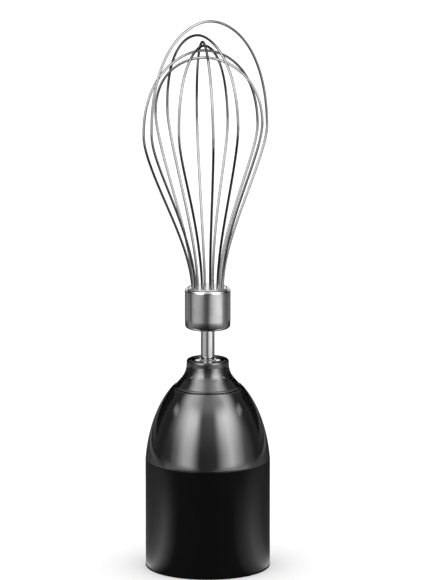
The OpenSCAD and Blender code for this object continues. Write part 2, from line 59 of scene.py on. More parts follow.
MM = 0.001
WELD = 0.0005 * MM
FULL_TURN = 2 * math.pi
DEGREES = 180.0 / math.pi

Point = tuple[float, float]
Row = tuple[Point, ...]
Colour = tuple[float, float, float]
Setting = Union[str, bool, float, list]
Inputs = dict[Union[str, int], object]
Number = Union["Wire", float]


# ---------------- shader kit


class Wire:
    """A shader output on which Python arithmetic adds Math nodes."""

    def __init__(self, graph: "Graph", socket: bpy.types.NodeSocket) -> None:
        """Holds one output socket and the graph that it belongs to."""
        self.graph = graph
        self.socket = socket

    def math(self, operation: str, *others: Number) -> "Wire":
        """Adds a Math node.

        Args:
            operation: the Math node's operation.
            others: its second and third inputs, as wires or numbers.

        Returns:
            The node's result.
        """
        inputs = {i: value for i, value in enumerate((self, *others))}
        return self.graph.node("ShaderNodeMath", {"operation": operation}, inputs)[0]

    def __add__(self, other: Number) -> "Wire":
        """Returns the sum."""
        return self.math("ADD", other)

    def __sub__(self, other: Number) -> "Wire":
        """Returns the difference."""
        return self.math("SUBTRACT", other)

    def __rsub__(self, other: float) -> "Wire":
        """Returns a number less this wire."""
        return self.graph.node("ShaderNodeMath", {"operation": "SUBTRACT"}, {0: other, 1: self})[0]

    def __mul__(self, other: Number) -> "Wire":
        """Returns the product."""
        return self.math("MULTIPLY", other)

    def __truediv__(self, other: Number) -> "Wire":
        """Returns the quotient."""
        return self.math("DIVIDE", other)

    def __pow__(self, other: float) -> "Wire":
        """Returns this wire raised to a power."""
        return self.math("POWER", other)

    __radd__ = __add__
    __rmul__ = __mul__

    def between(self, low: float, high: float) -> "Wire":
        """Returns 0 below low, 1 above high and a smooth step in between."""
        inputs = {"Value": self, "From Min": low, "From Max": high}
        return self.graph.node("ShaderNodeMapRange", {"interpolation_type": "SMOOTHSTEP"}, inputs)[0]


class Graph:
    """The node tree of one material or world, in which one method makes every node."""

    def __init__(self, owner: Union[Material, bpy.types.World]) -> None:
        """Empties the owner's node tree."""
        owner.use_nodes = True
        self.owner = owner
        self.tree = owner.node_tree
        self.tree.nodes.clear()

    @classmethod
    def material(cls, name: str) -> "Graph":
        """Returns an empty graph in a new material of that name."""
        return cls(bpy.data.materials.new(name))

    def node(
        self, kind: str, settings: dict[str, Setting] | None = None, inputs: Inputs | None = None
    ) -> list[Wire]:
        """Adds a node of any type.

        Args:
            kind: the node's type name.
            settings: its properties, and a ramp's stops as (position, grey or colour) pairs.
            inputs: values or wires, by the socket's name or number.

        Returns:
            A wire for each of its outputs.
        """
        made = self.tree.nodes.new(kind)
        for name, value in (settings or {}).items():
            if name == "stops":
                self._fill_ramp(made.color_ramp, value)
            else:
                setattr(made, name, value)
        for key, value in (inputs or {}).items():
            if isinstance(value, Wire):
                self.tree.links.new(value.socket, made.inputs[key])
            else:
                made.inputs[key].default_value = value
        return [Wire(self, socket) for socket in made.outputs]

    @staticmethod
    def _fill_ramp(ramp: bpy.types.ColorRamp, stops: Sequence[tuple[float, object]]) -> None:
        """Sets a ramp's stops, each a position and a grey or a colour."""
        while len(ramp.elements) < len(stops):
            ramp.elements.new(0.5)
        for element, (position, value) in zip(ramp.elements, stops):
            element.position = position
            element.color = (value, value, value, 1.0) if isinstance(value, float) else (*value, 1.0)

    def place(self) -> Wire:
        """Returns the point on the object, in metres."""
        return self.node("ShaderNodeTexCoord")[3]

    def axes(self) -> list[Wire]:
        """Returns the point's x, y and z as three wires."""
        return self.node("ShaderNodeSeparateXYZ", None, {0: self.place()})

    def stretched(self, scale: Sequence[float], turn: float = 0.0) -> Wire:
        """Returns the point with its axes scaled, after a turn about Z.

        Args:
            scale: the factor for each axis.
            turn: radians about Z.
        """
        inputs = {"Vector": self.place(), "Rotation": (0.0, 0.0, turn), "Scale": tuple(scale)}
        return self.node("ShaderNodeMapping", None, inputs)[0]

    def noise(self, grain: float, detail: float = 2.0, vector: Wire | None = None) -> Wire:
        """Adds a noise texture.

        Args:
            grain: the size of one lump, in metres.
            detail: how many finer layers it carries.
            vector: where it is read, or the object's own point.

        Returns:
            Its value, about 0.5 on average.
        """
        inputs = {"Vector": vector or self.place(), "Scale": 1.0 / grain, "Detail": detail, "Roughness": 0.55}
        return self.node("ShaderNodeTexNoise", None, inputs)[0]

    def specks(self, spacing: float, size: float) -> Wire:
        """Adds scattered round specks.

        Args:
            spacing: the mean distance between specks, in metres.
            size: a speck's radius as a share of the spacing.

        Returns:
            1 in a speck and 0 elsewhere.
        """
        inputs = {"Vector": self.place(), "Scale": 1.0 / spacing}
        near = self.node("ShaderNodeTexVoronoi", None, inputs)[0]
        return 1.0 - near.between(size * 0.7, size)

    def turning(self, pitch: float, wander: float) -> Wire:
        """Adds the fine grooves that turning or grinding round Z leaves.

        Args:
            pitch: the distance between grooves along Z, in metres.
            wander: how far a groove wanders round the piece before it fades, in metres.

        Returns:
            The groove's depth, about 0.5 on average.
        """
        flat = pitch / wander
        return self.noise(pitch, 3.0, self.stretched((flat, flat, 1.0)))

    def facing(self, pitch: float) -> Wire:
        """Returns the rings that facing a disc leaves round Z, at that pitch, from 0 to 1."""
        x, y, _ = self.axes()
        radius = (x * x + y * y) ** 0.5
        rough = self.noise(0.8 * MM, 1.0)
        return (radius * (FULL_TURN / pitch) + rough * 2.0).math("SINE") * 0.5 + 0.5

    def colour(self, factor: Number, low: Sequence[float], high: Sequence[float]) -> Wire:
        """Returns a colour that goes from low to high with the factor."""
        inputs = {0: factor, 6: (*low, 1.0), 7: (*high, 1.0)}
        return self.node("ShaderNodeMix", {"data_type": "RGBA"}, inputs)[2]

    def bump(self, height: Wire, depth: float, strength: float = 1.0, under: Wire | None = None) -> Wire:
        """Adds a bump.

        Args:
            height: the relief, from 0 to 1.
            depth: what a height of 1 is in metres.
            strength: how much of it shows.
            under: a normal that it lies on.

        Returns:
            The bumped normal.
        """
        inputs: Inputs = {"Height": height, "Distance": depth, "Strength": strength}
        if under:
            inputs["Normal"] = under
        return self.node("ShaderNodeBump", None, inputs)[0]

    def surface(self, **sockets: object) -> Material:
        """Adds the Principled shader and the output.

        Args:
            sockets: its inputs, with _ for each space in a name.

        Returns:
            The finished material.
        """
        inputs = {name.replace("_", " "): value for name, value in sockets.items()}
        shader = self.node("ShaderNodeBsdfPrincipled", None, inputs)[0]
        self.node("ShaderNodeOutputMaterial", None, {"Surface": shader})
        return self.owner


# ---------------- finishes


class Slot(Enum):
    """The record's material slots."""

    SKIRT = "skirt_plastic"
    BELL = "bell_plastic"
    LINER = "liner_plastic"
    CORE = "core_plastic"
    NYLON = "nylon"
    ZINC = "cast_zinc"
    GEAR_STEEL = "gear_steel"
    SHAFT_STEEL = "shaft_steel"
    COLLAR_STEEL = "collar_steel"
    POLISHED_STEEL = "polished_steel"
    WIRE_STEEL = "wire_steel"
    BRONZE = "bronze"
    RUBBER = "rubber"


@dataclass(frozen=True)
class GlossPlastic:
    """Black plastic from a polished mould, with a faint orange peel and hairline rubs."""

    slot: Slot
    shade: float = 0.0055
    roughness: float = 0.09

    def material(self) -> Material:
        """Returns the material."""
        g = Graph.material(self.slot.value)
        rubs = g.noise(0.35 * MM, 4.0, g.stretched((1.0, 1.0, 0.12), 0.5))
        cloud = g.noise(9 * MM, 3.0)
        peel = g.bump(g.noise(2.2 * MM, 1.0), 0.002 * MM, 0.6)
        light = (self.shade * 1.3, self.shade * 1.3, self.shade * 1.45)
        return g.surface(
            Base_Color=g.colour(cloud, (self.shade,) * 3, light),
            Roughness=self.roughness + cloud.between(0.35, 0.75) * 0.05 + rubs.between(0.55, 0.8) * 0.06,
            Specular_IOR_Level=1.0,
            Coat_Weight=1.0,
            Coat_Roughness=0.1,
            Normal=g.bump(rubs, 0.0006 * MM, 0.5, peel),
        )


@dataclass(frozen=True)
class SoftTouch:
    """Black rubbery paint: a fine satin grain, a little polished at the rim and by handling."""

    slot: Slot
    low: float
    high: float
    shade: float = 0.0028
    roughness: float = 0.12
    rim_share: float = 0.03

    def material(self) -> Material:
        """Returns the material."""
        g = Graph.material(self.slot.value)
        z = g.axes()[2]
        grain = g.noise(0.22 * MM, 3.0)
        cloud = g.noise(14 * MM, 3.0)
        rim_wear = 1.0 - z.between(self.low, self.low + self.rim_share * (self.high - self.low))
        lint = g.specks(3.5 * MM, 0.045)
        return g.surface(
            Base_Color=g.colour(grain, (self.shade * 0.8,) * 3, (self.shade * 1.25,) * 3),
            Roughness=self.roughness + cloud * 0.08 - rim_wear * 0.12 + lint * 0.2,
            Specular_IOR_Level=0.3,
            Normal=g.bump(grain, 0.0015 * MM, 0.5, g.bump(cloud, 0.02 * MM, 0.3)),
        )


@dataclass(frozen=True)
class MouldedPlastic:
    """Plain moulded plastic inside the housing, with a spark-eroded grain and flow clouds."""

    slot: Slot
    tint: Colour
    roughness: float = 0.42
    depth: float = 0.0

    def material(self) -> Material:
        """Returns the material."""
        g = Graph.material(self.slot.value)
        grain = g.noise(0.18 * MM, 2.0)
        flow = g.noise(5 * MM, 4.0, g.stretched((1.0, 1.0, 0.35)))
        dark = tuple(0.88 * c for c in self.tint)
        light = tuple(min(1.0, 1.08 * c) for c in self.tint)
        return g.surface(
            Base_Color=g.colour(flow.between(0.3, 0.7), dark, light),
            Roughness=self.roughness + grain * 0.12,
            Coat_Weight=flow.between(0.5, 0.8) * 0.25,
            Subsurface_Weight=self.depth,
            Subsurface_Radius=(0.8 * MM, 0.6 * MM, 0.4 * MM),
            Subsurface_Scale=1.0,
            Normal=g.bump(grain, 0.006 * MM, 0.5),
        )


@dataclass(frozen=True)
class TurnedSteel:
    """Steel that was turned or ground round the spindle axis."""

    slot: Slot
    tint: Colour
    roughness: float
    pitch: float
    wander: float
    groove: float
    spread: float = 0.12
    faced: bool = False

    def material(self) -> Material:
        """Returns the material."""
        g = Graph.material(self.slot.value)
        grooves = g.turning(self.pitch, self.wander)
        fine = g.turning(self.pitch * 0.31, self.wander * 0.6)
        relief = grooves * 0.6 + fine * 0.4
        if self.faced:
            relief = relief * 0.6 + g.facing(self.pitch * 3) * 0.4
        cloud = g.noise(4 * MM, 3.0)
        tarnish = cloud.between(0.45, 0.75)
        dark = tuple(0.86 * c for c in self.tint)
        return g.surface(
            Base_Color=g.colour(tarnish * 0.5 + relief * 0.5, self.tint, dark),
            Metallic=1.0,
            Roughness=self.roughness + relief * self.spread + tarnish * 0.04,
            Normal=g.bump(relief, self.groove),
        )


@dataclass(frozen=True)
class DrawnWire:
    """Polished stainless spring wire, with dried water marks and fine draw lines."""

    slot: Slot
    tint: float = 0.33
    roughness: float = 0.06

    def material(self) -> Material:
        """Returns the material."""
        g = Graph.material(self.slot.value)
        draw = g.noise(0.12 * MM, 2.0, g.stretched((1.0, 1.0, 0.04)))
        marks = g.specks(6 * MM, 0.16)
        cloud = g.noise(11 * MM, 3.0)
        light = (self.tint, self.tint, self.tint * 1.01)
        return g.surface(
            Base_Color=g.colour(marks * 0.4 + cloud * 0.6, light, (self.tint * 0.9,) * 3),
            Metallic=1.0,
            Roughness=self.roughness + cloud * 0.06 + marks * 0.1,
            Normal=g.bump(draw, 0.0015 * MM, 0.5),
        )


@dataclass(frozen=True)
class CastMetal:
    """Die-cast or sintered metal, with pores and a grainy skin."""

    slot: Slot
    tint: Colour
    grain: float
    pores: float
    roughness: float = 0.42

    def material(self) -> Material:
        """Returns the material."""
        g = Graph.material(self.slot.value)
        skin = g.noise(self.grain, 4.0)
        pores = g.specks(self.pores, 0.2)
        cloud = g.noise(7 * MM, 3.0)
        dark = tuple(0.6 * c for c in self.tint)
        return g.surface(
            Base_Color=g.colour(pores * 0.7 + cloud.between(0.4, 0.8) * 0.3, self.tint, dark),
            Metallic=1.0,
            Roughness=self.roughness + skin * 0.15 + pores * 0.2,
            Normal=g.bump(skin - pores * 0.5, 0.02 * MM, 0.6),
        )


@dataclass(frozen=True)
class Rubber:
    """Black sealing rubber with a chalky bloom."""

    slot: Slot

    def material(self) -> Material:
        """Returns the material."""
        g = Graph.material(self.slot.value)
        bloom = g.noise(1.6 * MM, 4.0)
        grain = g.noise(0.1 * MM, 2.0)
        return g.surface(
            Base_Color=g.colour(bloom.between(0.4, 0.8), (0.012, 0.012, 0.012), (0.035, 0.034, 0.033)),
            Roughness=0.6 + bloom * 0.2,
            Specular_IOR_Level=0.35,
            Normal=g.bump(grain, 0.008 * MM, 0.5),
        )


# ---------------- mesh kit


def placed(bm: BMesh, name: str, material: Material, suffix: str = "") -> Object:
    """Turns a bmesh into an object at the origin.

    Args:
        bm: the mesh, which is freed.
        name: the mesh's name.
        material: its only material.
        suffix: what the object's name adds to the mesh's.

    Returns:
        The object.
    """
    mesh = bpy.data.meshes.new(name)
    bm.to_mesh(mesh)
    bm.free()
    mesh.materials.append(material)
    made = bpy.data.objects.new(name + suffix, mesh)
    bpy.context.scene.collection.objects.link(made)
    return made


def sweep(bm: BMesh, angle: float, steps: int) -> None:
    """Sweeps an outline round Z.

    Args:
        bm: the mesh that holds the outline.
        angle: how far it goes, in radians.
        steps: how many steps it is cut into.
    """
    bmesh.ops.spin(
        bm,
        geom=bm.verts[:] + bm.edges[:],
        axis=(0.0, 0.0, 1.0),
        angle=angle,
        steps=steps,
        use_merge=angle == FULL_TURN,
    )
    bmesh.ops.remove_doubles(bm, verts=bm.verts[:], dist=WELD)


def finished(
    bm: BMesh, name: str, body: str, material: Material, sharp: float = 32, weighted: bool = True
) -> Object:
    """Turns a bmesh into a smooth-shaded piece that rides on a body.

    Args:
        bm: the mesh, which is freed.
        name: the piece's name, and the CAD node that it stands for.
        body: the CAD body that it moves with.
        material: the finish.
        sharp: edges that turn by more than this many degrees stay crisp.
        weighted: whether large faces keep their own shading beside a small round.

    Returns:
        The piece.
    """
    for face in bm.faces:
        face.smooth = True
    limit = math.radians(sharp)
    for edge in bm.edges:
        edge.smooth = len(edge.link_faces) == 2 and edge.calc_face_angle(0.0) < limit
    piece = placed(bm, name, material, "_skin")
    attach(piece, body)
    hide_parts(name)
    if weighted:
        flats = piece.modifiers.new("flat walls", "WEIGHTED_NORMAL")
        flats.keep_sharp = True
    LOG.info("%s: %d faces on %s", piece.name, len(piece.data.polygons), body)
    return piece


class Section:
    """The half section of a turned piece, whose corners each have their own rounding."""

    STEPS: ClassVar[int] = 144
    ROUND_SEGMENTS: ClassVar[int] = 5

    def __init__(self) -> None:
        """Starts with no corners."""
        self.corners: list[tuple[float, float, float]] = []

    def to(self, radius: float, height: float, rounding: float = 0.0) -> "Section":
        """Adds a corner.

        Args:
            radius: its distance from the axis.
            height: its height.
            rounding: the radius of its round.

        Returns:
            This section, so that calls can follow each other.
        """
        self.corners.append((radius, height, rounding))
        return self

    def along(self, points: Sequence[Point]) -> "Section":
        """Adds the points of a curve and returns this section."""
        for radius, height in points:
            self.to(radius, height)
        return self

    def spun(self) -> BMesh:
        """Returns the closed solid that the section makes when it is spun round Z."""
        bm = bmesh.new()
        verts = [bm.verts.new((radius, 0.0, height)) for radius, height, _ in self.corners]
        for a, b in zip(verts, verts[1:] + verts[:1]):
            if a.co.x > 0.0 or b.co.x > 0.0:
                bm.edges.new((a, b))
        for vert, (_, _, rounding) in zip(verts, self.corners):
            if rounding > 0.0:
                self._round(bm, vert, rounding)
        sweep(bm, FULL_TURN, self.STEPS)
        bmesh.ops.recalc_face_normals(bm, faces=bm.faces[:])
        return bm

    def _round(self, bm: BMesh, vert: BMVert, radius: float) -> None:
        """Rounds one corner of the outline to that radius."""
        before, after = (edge.other_vert(vert).co - vert.co for edge in vert.link_edges)
        bmesh.ops.bevel(
            bm,
            geom=[vert],
            offset=radius / math.tan(before.angle(after) / 2),
            offset_type="OFFSET",
            segments=self.ROUND_SEGMENTS,
            profile=0.5,
            affect="VERTICES",
            material=-1,
        )


def curve_points(curve: Callable[[float], Point], steps: int) -> list[Point]:
    """Returns the points along a curve that gives a point for a share of the way, from 0 to 1."""
    return [curve(i / steps) for i in range(steps + 1)]


@dataclass
class BenchPart:
    """An inner piece whose CAD shape is right: its mesh is merged, eased at the edges and dressed."""

    node: str
    body: str
    slot: Slot
    ease: float = 0.12 * MM

    FLAT: ClassVar[float] = math.radians(0.5)
    EASED_ANGLE: ClassVar[float] = math.radians(38)

    def build(self, material: Material) -> Object:
        """Builds the piece.

        Args:
            material: its finish.

        Returns:
            The piece, which stands for its CAD node.
        """
        bm = bmesh.new()
        bm.from_mesh(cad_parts[self.node].data)
        bmesh.ops.remove_doubles(bm, verts=bm.verts[:], dist=WELD)
        bmesh.ops.dissolve_limit(bm, angle_limit=self.FLAT, verts=bm.verts[:], edges=bm.edges[:])
        piece = finished(bm, self.node, self.body, material, weighted=False)
        if self.ease > 0.0:
            bevel = piece.modifiers.new("eased edges", "BEVEL")
            bevel.width = self.ease
            bevel.segments = 2
            bevel.limit_method = "ANGLE"
            bevel.angle_limit = self.EASED_ANGLE
        return piece


# ---------------- housing


@dataclass
class Housing:
    """The skirt, the bell and the nose, which are the black shell round the gears."""

    mouth_radius: float = 16.8 * MM
    curve_drop: float = 6.5 * MM
    dome_wall: float = 2.6 * MM
    boss_depth: float = 5.0 * MM
    neck_radius: float = 9.85 * MM
    nose_mouth_radius: float = 6.75 * MM
    flare_radius: float = 11.0 * MM
    flare_angle: float = math.radians(40.5)
    lip_round: float = 1.2 * MM
    foot_lip: float = 0.95 * MM
    seam_round: float = 0.22 * MM
    edge_round: float = 0.15 * MM
    mouth_edge: float = 0.5 * MM
    ring_step: float = 1.0 * MM
    retainer_land: float = 2.0 * MM
    groove_depth: float = 0.9 * MM
    bush_radius: float = 7.5 * MM
    flange_height: float = 1.2 * MM
    body: str = "housing"

    def __post_init__(self) -> None:
        """Reads from the frame what the neighbouring pieces fix."""
        low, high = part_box("skirt")
        self.base = low.z
        self.radius, _, self.seam = high
        self.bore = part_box("socket_liner")[1].x
        low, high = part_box("bell")
        self.spigot_bottom, self.mouth = low.z, high.z
        self.spigot_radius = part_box("base_plate")[1].x
        self.ring_radius, _, self.ring_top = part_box("ring_gear")[1]
        low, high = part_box("nose_piece")
        self.nose_bottom = low.z
        self.foot_radius, _, self.nose_top = high
        low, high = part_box("nose_retainer")
        self.retainer_low = low.z
        self.boss_radius = high.x
        self.plug_radius = self.boss_radius - self.retainer_land
        drop = self.curve_drop
        rise = self.mouth - self.seam
        self.squash = (self.radius**2 - self.mouth_radius**2) / ((rise + drop) ** 2 - drop**2)
        self.widest = math.sqrt(self.radius**2 + self.squash * drop**2)

    def bell_radius(self, height: float) -> float:
        """Returns the bell's outer radius at a height."""
        return math.sqrt(self.widest**2 - self.squash * (height - self.seam + self.curve_drop) ** 2)

    def bell_height(self, radius: float) -> float:
        """Returns the height at which the bell has an outer radius."""
        return self.seam - self.curve_drop + math.sqrt((self.widest**2 - radius**2) / self.squash)

    def skirt(self) -> Object:
        """Builds the skirt, a plain satin tube with a rounded bottom edge."""
        section = (
            Section()
            .to(self.bore, self.seam, self.edge_round)
            .to(self.bore, self.base + 0.4 * MM)
            .to(self.bore + 0.4 * MM, self.base)
            .to(self.radius, self.base, 0.5 * MM)
            .to(self.radius, self.seam, self.seam_round)
        )
        finish = SoftTouch(Slot.SKIRT, self.base, self.seam)
        return finished(section.spun(), "skirt", self.body, finish.material())

    def bell(self, material: Material) -> Object:
        """Builds the bell: a spigot, a seat for the ring gear and an elliptic dome."""
        inner = self.ring_radius - self.ring_step
        wall = self.dome_wall
        dome_from = self.bell_height(inner + wall)
        dome_to = self.bell_height(self.boss_radius + wall)
        boss_floor = self.mouth - self.boss_depth
        dome_top = self.mouth - self.mouth_edge

        def outer(share: float) -> Point:
            """Returns the outside's point at a share of its height."""
            height = self.seam + (dome_top - self.seam) * share
            return self.bell_radius(height), height

        def inner_dome(share: float) -> Point:
            """Returns the inside's point at a share of the way down."""
            height = dome_to + (dome_from - dome_to) * share
            return self.bell_radius(height) - wall, height

        section = (
            Section()
            .to(self.spigot_radius, self.spigot_bottom, 0.2 * MM)
            .to(self.spigot_radius, self.seam)
            .to(self.radius, self.seam, self.seam_round)
            .along(curve_points(outer, 56)[1:])
            .to(self.bell_radius(self.mouth), self.mouth, self.mouth_edge)
            .to(self.plug_radius, self.mouth, self.edge_round)
            .to(self.plug_radius, boss_floor, self.edge_round)
            .to(self.boss_radius, boss_floor, self.edge_round)
            .to(self.boss_radius, dome_to)
            .along(curve_points(inner_dome, 24)[1:-1])
            .to(inner, dome_from)
            .to(inner, self.ring_top)
            .to(self.ring_radius, self.ring_top)
            .to(self.ring_radius, self.spigot_bottom, self.edge_round)
        )
        return finished(section.spun(), "bell", self.body, material)

    def nose(self, material: Material) -> Object:
        """Builds the nose: a foot with a lip, a hollow flare and a neck with a rounded mouth."""
        seal_low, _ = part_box("output_seal")
        flange_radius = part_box("output_bush")[1].x
        flange_top = self.nose_bottom + self.flange_height
        groove_radius = self.plug_radius - self.groove_depth
        cone_radius = self.foot_radius - self.foot_lip
        cone_base = self.mouth + self.foot_lip
        turn = self.flare_angle
        flare_end = self.neck_radius + self.flare_radius * (1 - math.cos(turn))
        flare_height = (
            cone_base + (cone_radius - flare_end) / math.tan(turn) + self.flare_radius * math.sin(turn)
        )

        def flare(share: float) -> Point:
            """Returns the flare's point at a share of the way up."""
            angle = turn * (1 - share)
            radius = self.neck_radius + self.flare_radius * (1 - math.cos(angle))
            return radius, flare_height - self.flare_radius * math.sin(angle)

        section = (
            Section()
            .to(self.plug_radius, self.nose_bottom, 0.2 * MM)
            .to(self.plug_radius, self.retainer_low)
            .to(groove_radius, self.retainer_low)
            .to(groove_radius, self.mouth - self.boss_depth)
            .to(self.plug_radius, self.mouth - self.boss_depth)
            .to(self.plug_radius, self.mouth)
            .to(self.foot_radius - 0.25 * MM, self.mouth, 0.2 * MM)
            .to(self.foot_radius, self.mouth + 0.55 * MM, 0.3 * MM)
            .to(self.foot_radius - 0.3 * MM, cone_base - 0.12 * MM, 0.25 * MM)
            .to(cone_radius, cone_base, 0.5 * MM)
            .along(curve_points(flare, 30))
            .to(self.neck_radius, self.nose_top, self.lip_round)
            .to(self.nose_mouth_radius, self.nose_top, 0.6 * MM)
            .to(self.nose_mouth_radius, seal_low.z)
            .to(self.bush_radius, seal_low.z)
            .to(self.bush_radius, flange_top)
            .to(flange_radius, flange_top)
            .to(flange_radius, self.nose_bottom, self.edge_round)
        )
        return finished(section.spun(), "nose_piece", self.body, material)

    def build(self, finishes: dict[Slot, Material]) -> None:
        """Builds the shell's pieces."""
        self.skirt()
        self.bell(finishes[Slot.BELL])
        self.nose(finishes[Slot.BELL])


# ---------------- whisk


@dataclass(frozen=True)
class Loop:
    """One wire loop: its ports, how it splays, and how far it falls short of the balloon."""

    ports: tuple[int, int]
    splay: tuple[float, float]
    narrower: float
    higher: float
    lower: float


@dataclass
class Whisk:
    """The shaft, the steel collar with its top plate, and the six wire loops."""

    collar_wall: float = 0.7 * MM
    top_round: float = 1.6 * MM
    bottom_round: float = 1.6 * MM
    hem: float = 4.5 * MM
    hem_set: float = 0.13 * MM
    hem_step: float = 0.02 * MM
    hem_ease: float = 0.4 * MM
    port_circle: float = 7.1 * MM
    balloon_radius: float = 33.2 * MM
    balloon_height: float = 125.0 * MM
    widest_share: float = 0.6
    root_depth: float = 2.2 * MM
    top_set: float = -2.3 * MM
    wire_radius: float = 0.6 * MM
    body: str = "whisk"

    PORTS: ClassVar[int] = 12
    FIRST_PORT: ClassVar[float] = -80.0
    LOOPS: ClassVar[tuple[Loop, ...]] = (
        Loop((1, 6), (-49, 115), 1.2 * MM, -0.5 * MM, 0.0),
        Loop((10, 4), (215, 31), 3.2 * MM, 5.0 * MM, 7.0 * MM),
        Loop((2, 8), (-26, 156), 6.7 * MM, 0.0, 12.0 * MM),
        Loop((3, 9), (8, 187), 4.2 * MM, -1.0 * MM, 10.2 * MM),
        Loop((0, 7), (-57, 132), 0.0, -1.5 * MM, 14.4 * MM),
        Loop((11, 5), (235, 75), 5.6 * MM, 4.0 * MM, 18.0 * MM),
    )
    ROOT_HANDLE: ClassVar[float] = 0.38
    WAIST_HANDLE: ClassVar[float] = 0.195
    SHOULDER_HANDLE: ClassVar[float] = 0.76
    CROWN_HANDLE: ClassVar[float] = 0.37
    RISE_STEPS: ClassVar[int] = 44
    CROWN_STEPS: ClassVar[int] = 60
    WIRE_SEGMENTS: ClassVar[int] = 3

    def __post_init__(self) -> None:
        """Reads the shaft's, the collar's and the plate's places from the frame."""
        self.shaft_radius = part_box("whisk_shaft")[1].x
        low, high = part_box("whisk_collar")
        self.collar_low = low.z
        self.collar_radius, _, self.collar_high = high
        low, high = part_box("collar_plate")
        self.plate_low = low.z
        self.plate_radius, _, self.plate_high = high
        self.leg_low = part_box("wire_loop_1")[0].z

    def collar(self, material: Material) -> Object:
        """Builds the collar: a deep-drawn cup that draws in a little above its rounded bottom."""
        wall = self.collar_wall
        radius, low, high = self.collar_radius, self.collar_low, self.collar_high
        section = (
            Section()
            .to(self.shaft_radius, low, 0.1 * MM)
            .to(radius - self.hem_set, low, self.bottom_round)
            .to(radius - self.hem_step, low + self.hem - self.hem_ease)
            .to(radius, low + self.hem)
            .to(radius, high, self.top_round)
            .to(radius - self.top_round, high)
            .to(radius - self.top_round, high - wall)
            .to(radius - wall, high - wall, self.top_round - wall)
            .to(radius - wall, low + wall, self.bottom_round - wall)
            .to(self.shaft_radius, low + wall)
        )
        return finished(section.spun(), "whisk_collar", self.body, material)

    def plate(self, material: Material) -> Object:
        """Builds the polished top plate that the wires come through."""
        section = (
            Section()
            .to(0.0, self.plate_low)
            .to(self.plate_radius, self.plate_low)
            .to(self.plate_radius, self.plate_high, 0.4 * MM)
            .to(0.0, self.plate_high)
        )
        return finished(section.spun(), "collar_plate", self.body, material)

    def shaft(self, material: Material) -> Object:
        """Builds the shaft: a ground rod with a snap groove, drive flats and the cross pin's hole."""
        return BenchPart("whisk_shaft", self.body, Slot.SHAFT_STEEL, 0.08 * MM).build(material)

    def port_angle(self, port: int) -> float:
        """Returns the direction of a port in degrees, from the front towards +X."""
        return self.FIRST_PORT + port * 360.0 / self.PORTS

    @staticmethod
    def bearing(angle: float) -> Vector:
        """Returns the level unit vector at an angle in degrees, from the front towards +X."""
        turn = math.radians(angle)
        return Vector((math.sin(turn), -math.cos(turn), 0.0))

    @staticmethod
    def bezier(points: Sequence[Point], share: float) -> Point:
        """Returns the point on a cubic curve at a share of its way."""
        rest = 1 - share
        weights = (rest**3, 3 * rest**2 * share, 3 * rest * share**2, share**3)
        return tuple(sum(w * p[axis] for w, p in zip(weights, points)) for axis in (0, 1))

    def strand(self, loop: Loop, side: int, point: Point, waist: float, level: float, over: bool) -> Vector:
        """Places a point of a strand.

        Args:
            loop: the loop that the strand belongs to.
            side: 1 for the side that leaves by its first port, -1 for the other.
            point: the strand's radius and height above the wires' root.
            waist: the loop's widest radius.
            level: the height at which it is widest.
            over: whether the point lies on the crown, above that height.

        Returns:
            The centre of the wire there.
        """
        radius, height = point
        share = min(1.0, height / level)
        swing = 1.0 if over else share * share * (3 - 2 * share)
        sides = []
        for port, splay in zip(loop.ports, loop.splay):
            start = self.port_angle(port)
            short_turn = (splay - start + 540.0) % 360.0 - 180.0
            sides.append(self.bearing(start + swing * short_turn))
        middle = (sides[0] + sides[1]) / 2
        half = side * (sides[0] - sides[1]) / 2
        place = middle * (waist if over else radius) + half * radius
        place.x += self.top_set * height / self.balloon_height
        place.z = self.collar_high - self.root_depth + height
        return place

    def path(self, loop: Loop) -> list[Vector]:
        """Returns the centre line of a loop, from the foot of one leg to the foot of the other."""
        waist = self.balloon_radius - loop.narrower
        level = self.balloon_height * self.widest_share + self.root_depth + loop.higher
        top = self.balloon_height + self.root_depth - loop.lower
        root, leaning = self.ROOT_HANDLE * level, (1 - self.WAIST_HANDLE) * level
        shoulder = level + self.SHOULDER_HANDLE * (top - level)
        rise = ((self.port_circle, 0.0), (self.port_circle, root), (waist, leaning), (waist, level))
        crown = ((waist, level), (waist, shoulder), (self.CROWN_HANDLE * waist, top), (0.0, top))
        rising = [self.bezier(rise, i / self.RISE_STEPS) for i in range(self.RISE_STEPS)]
        over = [self.bezier(crown, i / self.CROWN_STEPS) for i in range(self.CROWN_STEPS + 1)]
        feet = [self.bearing(self.port_angle(port)) * self.port_circle for port in loop.ports]
        for foot in feet:
            foot.z = self.leg_low
        way = [(point, False) for point in rising] + [(point, True) for point in over]
        first = [self.strand(loop, 1, point, waist, level, crowned) for point, crowned in way]
        second = [self.strand(loop, -1, point, waist, level, crowned) for point, crowned in way[:-1]]
        return [feet[0], *first, *reversed(second), feet[1]]

